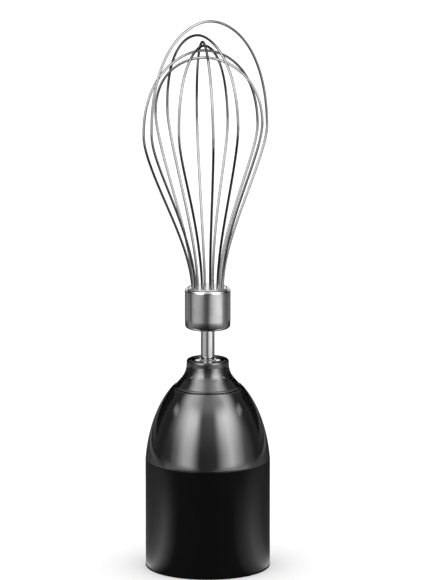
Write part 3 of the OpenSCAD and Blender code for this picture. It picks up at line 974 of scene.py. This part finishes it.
    def wire(self, number: int, loop: Loop, material: Material) -> Object:
        """Builds one loop as a round wire along its centre line.

        Args:
            number: the loop's number, from 1.
            loop: its shape.
            material: its finish.

        Returns:
            The wire.
        """
        name = f"wire_loop_{number}"
        path = self.path(loop)
        line = bpy.data.curves.new(name, "CURVE")
        line.dimensions = "3D"
        line.bevel_depth = self.wire_radius
        line.bevel_resolution = self.WIRE_SEGMENTS
        line.use_fill_caps = True
        spline = line.splines.new("POLY")
        spline.points.add(len(path) - 1)
        for point, place in zip(spline.points, path):
            point.co = (*place, 1.0)
        drawn = bpy.data.objects.new(name + "_line", line)
        bpy.context.scene.collection.objects.link(drawn)
        bpy.context.view_layer.update()
        mesh = bpy.data.meshes.new_from_object(drawn.evaluated_get(bpy.context.evaluated_depsgraph_get()))
        bpy.data.objects.remove(drawn)
        bm = bmesh.new()
        bm.from_mesh(mesh)
        bpy.data.meshes.remove(mesh)
        bmesh.ops.remove_doubles(bm, verts=bm.verts[:], dist=WELD)
        bmesh.ops.recalc_face_normals(bm, faces=bm.faces[:])
        return finished(bm, name, self.body, material, sharp=60.0, weighted=False)

    def build(self, finishes: dict[Slot, Material]) -> tuple[Object, ...]:
        """Builds the whisk's pieces and returns the collar and its top plate."""
        self.shaft(finishes[Slot.SHAFT_STEEL])
        collar = self.collar(finishes[Slot.COLLAR_STEEL])
        plate = self.plate(finishes[Slot.POLISHED_STEEL])
        BenchPart("collar_core", self.body, Slot.CORE).build(finishes[Slot.CORE])
        BenchPart("cross_pin", self.body, Slot.GEAR_STEEL).build(finishes[Slot.GEAR_STEEL])
        for number, loop in enumerate(self.LOOPS, start=1):
            self.wire(number, loop, finishes[Slot.WIRE_STEEL])
        return collar, plate


# ---------------- gear train and spindle


@dataclass
class GearTrain:
    """Everything inside the housing: bearings, planetary gears, spindle and drive coupling."""

    PARTS: ClassVar[tuple[BenchPart, ...]] = (
        BenchPart("socket_liner", "housing", Slot.LINER, 0.2 * MM),
        BenchPart("nose_retainer", "housing", Slot.GEAR_STEEL),
        BenchPart("seam_seal", "housing", Slot.RUBBER, 0.0),
        BenchPart("base_plate", "housing", Slot.ZINC, 0.25 * MM),
        BenchPart("base_screws", "housing", Slot.GEAR_STEEL),
        BenchPart("input_bush", "housing", Slot.BRONZE),
        BenchPart("thrust_washer", "housing", Slot.NYLON),
        BenchPart("ring_gear", "housing", Slot.GEAR_STEEL, 0.06 * MM),
        BenchPart("output_bush", "housing", Slot.BRONZE),
        BenchPart("spindle_washer", "housing", Slot.NYLON),
        BenchPart("output_seal", "housing", Slot.RUBBER),
        BenchPart("drive_coupling", "input", Slot.NYLON),
        BenchPart("input_shaft", "input", Slot.GEAR_STEEL, 0.2 * MM),
        BenchPart("input_washer", "input", Slot.NYLON),
        BenchPart("input_circlip", "input", Slot.GEAR_STEEL),
        BenchPart("sun_gear", "input", Slot.GEAR_STEEL, 0.05 * MM),
        BenchPart("planet_carrier", "carrier", Slot.NYLON, 0.2 * MM),
        BenchPart("carrier_plate", "carrier", Slot.GEAR_STEEL),
        BenchPart("planet_pins", "carrier", Slot.GEAR_STEEL),
        BenchPart("spindle_hub", "carrier", Slot.GEAR_STEEL),
        BenchPart("shaft_snap_ring", "carrier", Slot.GEAR_STEEL, 0.0),
        *(BenchPart(f"planet_gear_{n}", f"planet_{n}", Slot.NYLON, 0.05 * MM) for n in (1, 2, 3)),
    )
    cap_fit: float = 0.05 * MM
    cap_thickness: float = 0.9 * MM
    cone_foot: float = 1.1 * MM
    cone_tip: float = 0.35 * MM

    def cap(self, material: Material) -> Object:
        """Builds the polished ring that closes the hub, with a low cone round the shaft."""
        low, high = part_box("hub_cap")
        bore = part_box("whisk_shaft")[1].x + self.cap_fit
        shelf = low.z + self.cap_thickness
        section = (
            Section()
            .to(bore, low.z)
            .to(high.x, low.z)
            .to(high.x, shelf, 0.3 * MM)
            .to(bore + self.cone_foot, shelf, 0.3 * MM)
            .to(bore + self.cone_tip, high.z, 0.15 * MM)
            .to(bore, high.z, 0.1 * MM)
        )
        return finished(section.spun(), "hub_cap", "carrier", material)

    def build(self, finishes: dict[Slot, Material]) -> Object:
        """Builds the inner pieces and returns the polished cap."""
        for part in self.PARTS:
            part.build(finishes[part.slot])
        return self.cap(finishes[Slot.POLISHED_STEEL])


# ---------------- studio


@dataclass
class Studio:
    """A pale table in a dome of soft boxes, and the camera.

    Directions are in degrees from the front towards +X. The lights show in reflections only, and
    the white surrounding gives matt surfaces their light.
    """

    steel: Sequence[Object] = ()
    distance: float = 2.4
    elevation: float = math.radians(11.33)
    target: Vector = Vector((0.0, 0.0, 130.3 * MM))
    aim: Vector = Vector((6.65 * MM, 0.0, 131.3 * MM))
    lens: float = 321.0
    sensor: float = 36.0
    dome_radius: float = 1.25
    back_radius: float = 1.1

    PEAK: ClassVar[float] = 5.3
    SURROUND: ClassVar[float] = 1.3
    SHEET_STEPS: ClassVar[int] = 96
    BACK: ClassVar[float] = 1.0
    BACK_REACH: ClassVar[float] = 60.0
    BACK_SPAN: ClassVar[Point] = (0.1, 0.75)
    WINGS: ClassVar[float] = 1.15
    WING_SIDES: ClassVar[Row] = ((80.0, 84.0), (96.0, 100.0))
    WING_HEIGHTS: ClassVar[Row] = ((27.0, 30.0), (33.0, 37.0))

    # The dome's brightness round the object, in three rows that fade into each other with height
    BOX_LEVEL: ClassVar[float] = 0.378
    FOOT_TO_BELLY: ClassVar[Point] = (6.0, 38.0)
    BELLY_TO_CROWN: ClassVar[Point] = (36.0, 54.0)
    FOOT: ClassVar[Row] = (
        (-160, 0.4), (-120, 0.2), (-100, 0.1), (-75, 0.4), (-60, 2.4), (-45, 7.4), (-33, 7.2), (-20, 1.4),
        (-15, 0.25), (15, 0.35), (20, 1.4), (31, 5.2), (45, 9.4), (60, 4.8), (75, 1.0), (100, 0.1),
        (120, 0.2), (160, 0.4),
    )
    BELLY: ClassVar[Row] = (
        (-160, 0.5), (-120, 0.25), (-92, 0.1), (-82, 1.6), (-73, 4.2), (-60, 8.4), (-45, 12.4),
        (-28, 11.4), (-17, 2.6), (-13, 0.9), (13, 1.2), (18, 3.0), (28, 9.6), (43, 13.4), (58, 11.4),
        (72, 5.6), (82, 1.6), (92, 0.1), (120, 0.25), (160, 0.5),
    )
    CROWN: ClassVar[Row] = (
        (-140, 1.2), (-112, 0.4), (-100, 0.4), (-88, 4.0), (-70, 8.2), (-45, 7.2), (-30, 5.0), (-12, 2.6),
        (12, 2.7), (30, 3.8), (48, 5.2), (62, 8.2), (80, 6.0), (95, 1.2), (105, 0.4), (140, 1.2),
    )

    # The table's brightness round the object, in four rows that fade into each other with distance
    FOOT_TO_NEAR: ClassVar[Point] = (0.05, 0.26)
    NEAR_TO_TABLE: ClassVar[Point] = (0.505, 0.55)
    TABLE_TO_FAR: ClassVar[Point] = (0.69, 0.74)
    CLOSER_AHEAD: ClassVar[float] = 0.09
    AHEAD: ClassVar[Point] = (80.0, 95.0)
    TABLE: ClassVar[Row] = (
        (-170, 0.05), (-150, 0.25), (-116, 0.33), (-100, 0.2), (-90, 0.15), (-77, 0.65), (-58, 0.7),
        (-37, 0.55), (-26, 0.36), (-11, 0.14), (2, 0.15), (14, 0.65), (30, 1.05), (52, 1.35), (72, 1.3),
        (83, 0.45), (97, 0.24), (112, 0.18), (124, 0.24), (140, 0.28), (165, 0.05),
    )
    TABLE_FAR: ClassVar[Row] = (
        (-100, 0.02), (-80, 0.35), (-55, 0.8), (-30, 0.7), (-12, 0.1), (8, 0.1), (25, 0.8), (55, 1.2),
        (80, 0.4), (100, 0.02),
    )
    TABLE_NEAR: ClassVar[Row] = (
        (-150, 0.05), (-130, 0.1), (-110, 0.25), (-94, 0.34), (-82, 0.2), (-68, 0.03), (0, 0.02),
        (68, 0.03), (80, 0.18), (92, 0.3), (108, 0.22), (130, 0.08), (150, 0.03),
    )
    TABLE_FOOT: ClassVar[Row] = (
        (-135, 0.15), (-111, 0.3), (-94, 0.8), (-79, 2.0), (-70, 1.5), (-61, 0.6), (-52, 0.06), (0, 0.04),
        (42, 0.06), (47, 0.3), (57, 0.65), (68, 1.1), (78, 1.6), (92, 0.9), (109, 0.25), (125, 0.1),
    )

    def camera(self) -> None:
        """Sets up the camera, a long lens a little above the object."""
        data = bpy.data.cameras.new("camera")
        data.lens = self.lens
        data.sensor_width = self.sensor
        made = bpy.data.objects.new("camera", data)
        bpy.context.scene.collection.objects.link(made)
        back = Vector((0.0, -math.cos(self.elevation), math.sin(self.elevation)))
        made.location = self.target + back * self.distance
        made.rotation_euler = (self.aim - made.location).to_track_quat("-Z", "Y").to_euler()
        bpy.context.scene.camera = made

    @staticmethod
    def direction(x: Wire, y: Wire) -> Wire:
        """Returns the direction of a point, in degrees."""
        return x.math("ARCTAN2", y * -1.0) * DEGREES

    def lit_by(self, g: Graph, direction: Wire, levels: Sequence[Point], scale: float = 1.0) -> Wire:
        """Returns a brightness round the object, as a share of the peak.

        Args:
            g: the material's graph.
            direction: the direction in degrees.
            levels: brightness levels, each with its direction.
            scale: what the levels are multiplied by.
        """
        stops = [(0.5 + degrees / 360.0, level * scale / self.PEAK) for degrees, level in levels]
        return g.node("ShaderNodeValToRGB", {"stops": stops}, {0: direction / 360.0 + 0.5})[0]

    def glow(self, g: Graph, share: Wire) -> Material:
        """Returns a white glowing material with that share of the peak brightness."""
        colour = g.colour(share, (0.0, 0.0, 0.0), (1.0, 1.0, 1.0))
        light = g.node("ShaderNodeEmission", None, {"Color": colour, "Strength": self.PEAK})[0]
        g.node("ShaderNodeOutputMaterial", None, {"Surface": light})
        return g.owner

    def hang(
        self, section: Sequence[Point], name: str, material: Material, half_width: float = 180.0
    ) -> Object:
        """Hangs a sheet swept round the object, which shows in reflections only.

        Args:
            section: its section as (radius, height) points.
            name: its name.
            material: its glow.
            half_width: how far it reaches from the back towards each side, in degrees.

        Returns:
            The sheet.
        """
        reach = math.radians(half_width)
        bm = bmesh.new()
        verts = [bm.verts.new((r * math.sin(reach), r * math.cos(reach), height)) for r, height in section]
        for a, b in zip(verts, verts[1:]):
            bm.edges.new((a, b))
        sweep(bm, 2 * reach, self.SHEET_STEPS)
        sheet = placed(bm, name, material)
        sheet.visible_camera = False
        sheet.visible_diffuse = False
        sheet.visible_shadow = False
        sheet.visible_transmission = False
        return sheet

    def dome(self) -> None:
        """Hangs the dome: two tall soft boxes beside the camera that widen towards the top."""
        g = Graph.material("dome_glow")
        x, y, z = g.axes()
        direction = self.direction(x, y)
        height = (z / self.dome_radius).math("ARCSINE") * DEGREES
        rows = (self.FOOT, self.BELLY, self.CROWN)
        foot, belly, crown = (self.lit_by(g, direction, row, self.BOX_LEVEL) for row in rows)
        rising = height.between(*self.FOOT_TO_BELLY)
        topping = height.between(*self.BELLY_TO_CROWN)
        lower = foot * (1.0 - rising) + belly * rising
        aside = direction.math("ABSOLUTE")
        from_side, to_side = (aside.between(*span) for span in self.WING_SIDES)
        from_height, to_height = (height.between(*span) for span in self.WING_HEIGHTS)
        wings = (from_side - to_side) * (from_height - to_height)
        share = lower * (1.0 - topping) + crown * topping + wings * (self.WINGS / self.PEAK)
        arc = curve_points(lambda t: (math.cos(t * math.pi / 2), math.sin(t * math.pi / 2)), 24)
        section = [(self.dome_radius * r, self.dome_radius * h) for r, h in arc[:-1]]
        self.hang([*section, (0.0, self.dome_radius)], "light_dome", self.glow(g, share))

    def back_panel(self) -> None:
        """Hangs a low panel behind the object, which lights the turned steel alone."""
        g = Graph.material("back_glow")
        _, y, z = g.axes()
        share = (y / self.back_radius).between(0.5, 0.8) * z.between(0.1, 0.2) * (self.BACK / self.PEAK)
        section = [(self.back_radius, height) for height in self.BACK_SPAN]
        sheet = self.hang(section, "back_panel", self.glow(g, share), self.BACK_REACH)
        lit = bpy.data.collections.new("turned steel")
        for piece in self.steel:
            lit.objects.link(piece)
        sheet.light_linking.receiver_collection = lit

    def table_glow(self) -> None:
        """Lays the table's own glow, dim near the object and bright beyond its reach."""
        g = Graph.material("table_glow")
        x, y, _ = g.axes()
        direction = self.direction(x, y)
        radius = (x * x + y * y) ** 0.5
        rows = (self.TABLE_FOOT, self.TABLE_NEAR, self.TABLE, self.TABLE_FAR)
        foot, near, table, far = (self.lit_by(g, direction, row) for row in rows)
        clear = radius.between(*self.FOOT_TO_NEAR)
        ahead = 1.0 - direction.math("ABSOLUTE").between(*self.AHEAD)
        away = (radius + ahead * self.CLOSER_AHEAD).between(*self.NEAR_TO_TABLE)
        beyond = radius.between(*self.TABLE_TO_FAR)
        close = (foot * (1.0 - clear) + near * clear) * (1.0 - away) + table * away
        share = close * (1.0 - beyond) + far * beyond
        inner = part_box("skirt")[1].x + 1.0 * MM
        self.hang([(inner, 0.5 * MM), (self.dome_radius, 0.5 * MM)], "table_glow", self.glow(g, share))

    def table(self) -> None:
        """Builds the pale table."""
        bm = bmesh.new()
        bmesh.ops.create_grid(bm, x_segments=1, y_segments=1, size=20.0)
        g = Graph.material("table_top")
        tone = g.colour(g.noise(60 * MM, 3.0), (0.9, 0.9, 0.9), (0.93, 0.93, 0.93))
        table = placed(bm, "table", g.surface(Base_Color=tone, Roughness=0.7, Specular_IOR_Level=0.0))
        table.visible_glossy = False

    def world(self) -> None:
        """Sets a white surrounding that is dark in reflections."""
        world = bpy.data.worlds.new("studio")
        bpy.context.scene.world = world
        g = Graph(world)
        glossy = g.node("ShaderNodeLightPath")[3]
        tone = g.colour(glossy, (1.0, 1.0, 1.0), (0.05, 0.05, 0.05))
        sky = g.node("ShaderNodeBackground", None, {"Color": tone, "Strength": self.SURROUND})
        g.node("ShaderNodeOutputWorld", None, {"Surface": sky[0]})
        bpy.context.scene.view_settings.view_transform = "Standard"

    def build(self) -> None:
        """Builds the studio."""
        self.camera()
        self.dome()
        self.back_panel()
        self.table_glow()
        self.table()
        self.world()


def finishes() -> dict[Slot, Material]:
    """Returns the material of every slot that more than one piece uses."""
    made = (
        GlossPlastic(Slot.BELL),
        MouldedPlastic(Slot.LINER, (0.025, 0.025, 0.027)),
        MouldedPlastic(Slot.CORE, (0.06, 0.06, 0.063)),
        MouldedPlastic(Slot.NYLON, (0.74, 0.72, 0.65), 0.34, 0.15),
        CastMetal(Slot.ZINC, (0.55, 0.54, 0.52), 0.4 * MM, 1.2 * MM),
        TurnedSteel(Slot.GEAR_STEEL, (0.5, 0.5, 0.51), 0.24, 0.12 * MM, 6 * MM, 0.004 * MM, faced=True),
        TurnedSteel(Slot.SHAFT_STEEL, (0.66, 0.66, 0.67), 0.06, 0.1 * MM, 12 * MM, 0.0006 * MM, 0.04),
        TurnedSteel(Slot.COLLAR_STEEL, (0.54, 0.54, 0.54), 0.08, 0.12 * MM, 25 * MM, 0.0003 * MM, 0.06),
        TurnedSteel(Slot.POLISHED_STEEL, (0.82, 0.82, 0.83), 0.08, 0.2 * MM, 8 * MM, 0.0006 * MM, 0.08, True),
        DrawnWire(Slot.WIRE_STEEL),
        CastMetal(Slot.BRONZE, (0.56, 0.37, 0.17), 0.15 * MM, 0.5 * MM, 0.38),
        Rubber(Slot.RUBBER),
    )
    return {finish.slot: finish.material() for finish in made}


def main() -> None:
    """Builds every sub-assembly and the studio."""
    logging.basicConfig(level=logging.INFO, format="%(name)s: %(message)s")
    shared = finishes()
    Housing().build(shared)
    cap = GearTrain().build(shared)
    Studio((cap, *Whisk().build(shared))).build()


if __name__ == "__main__":
    main()
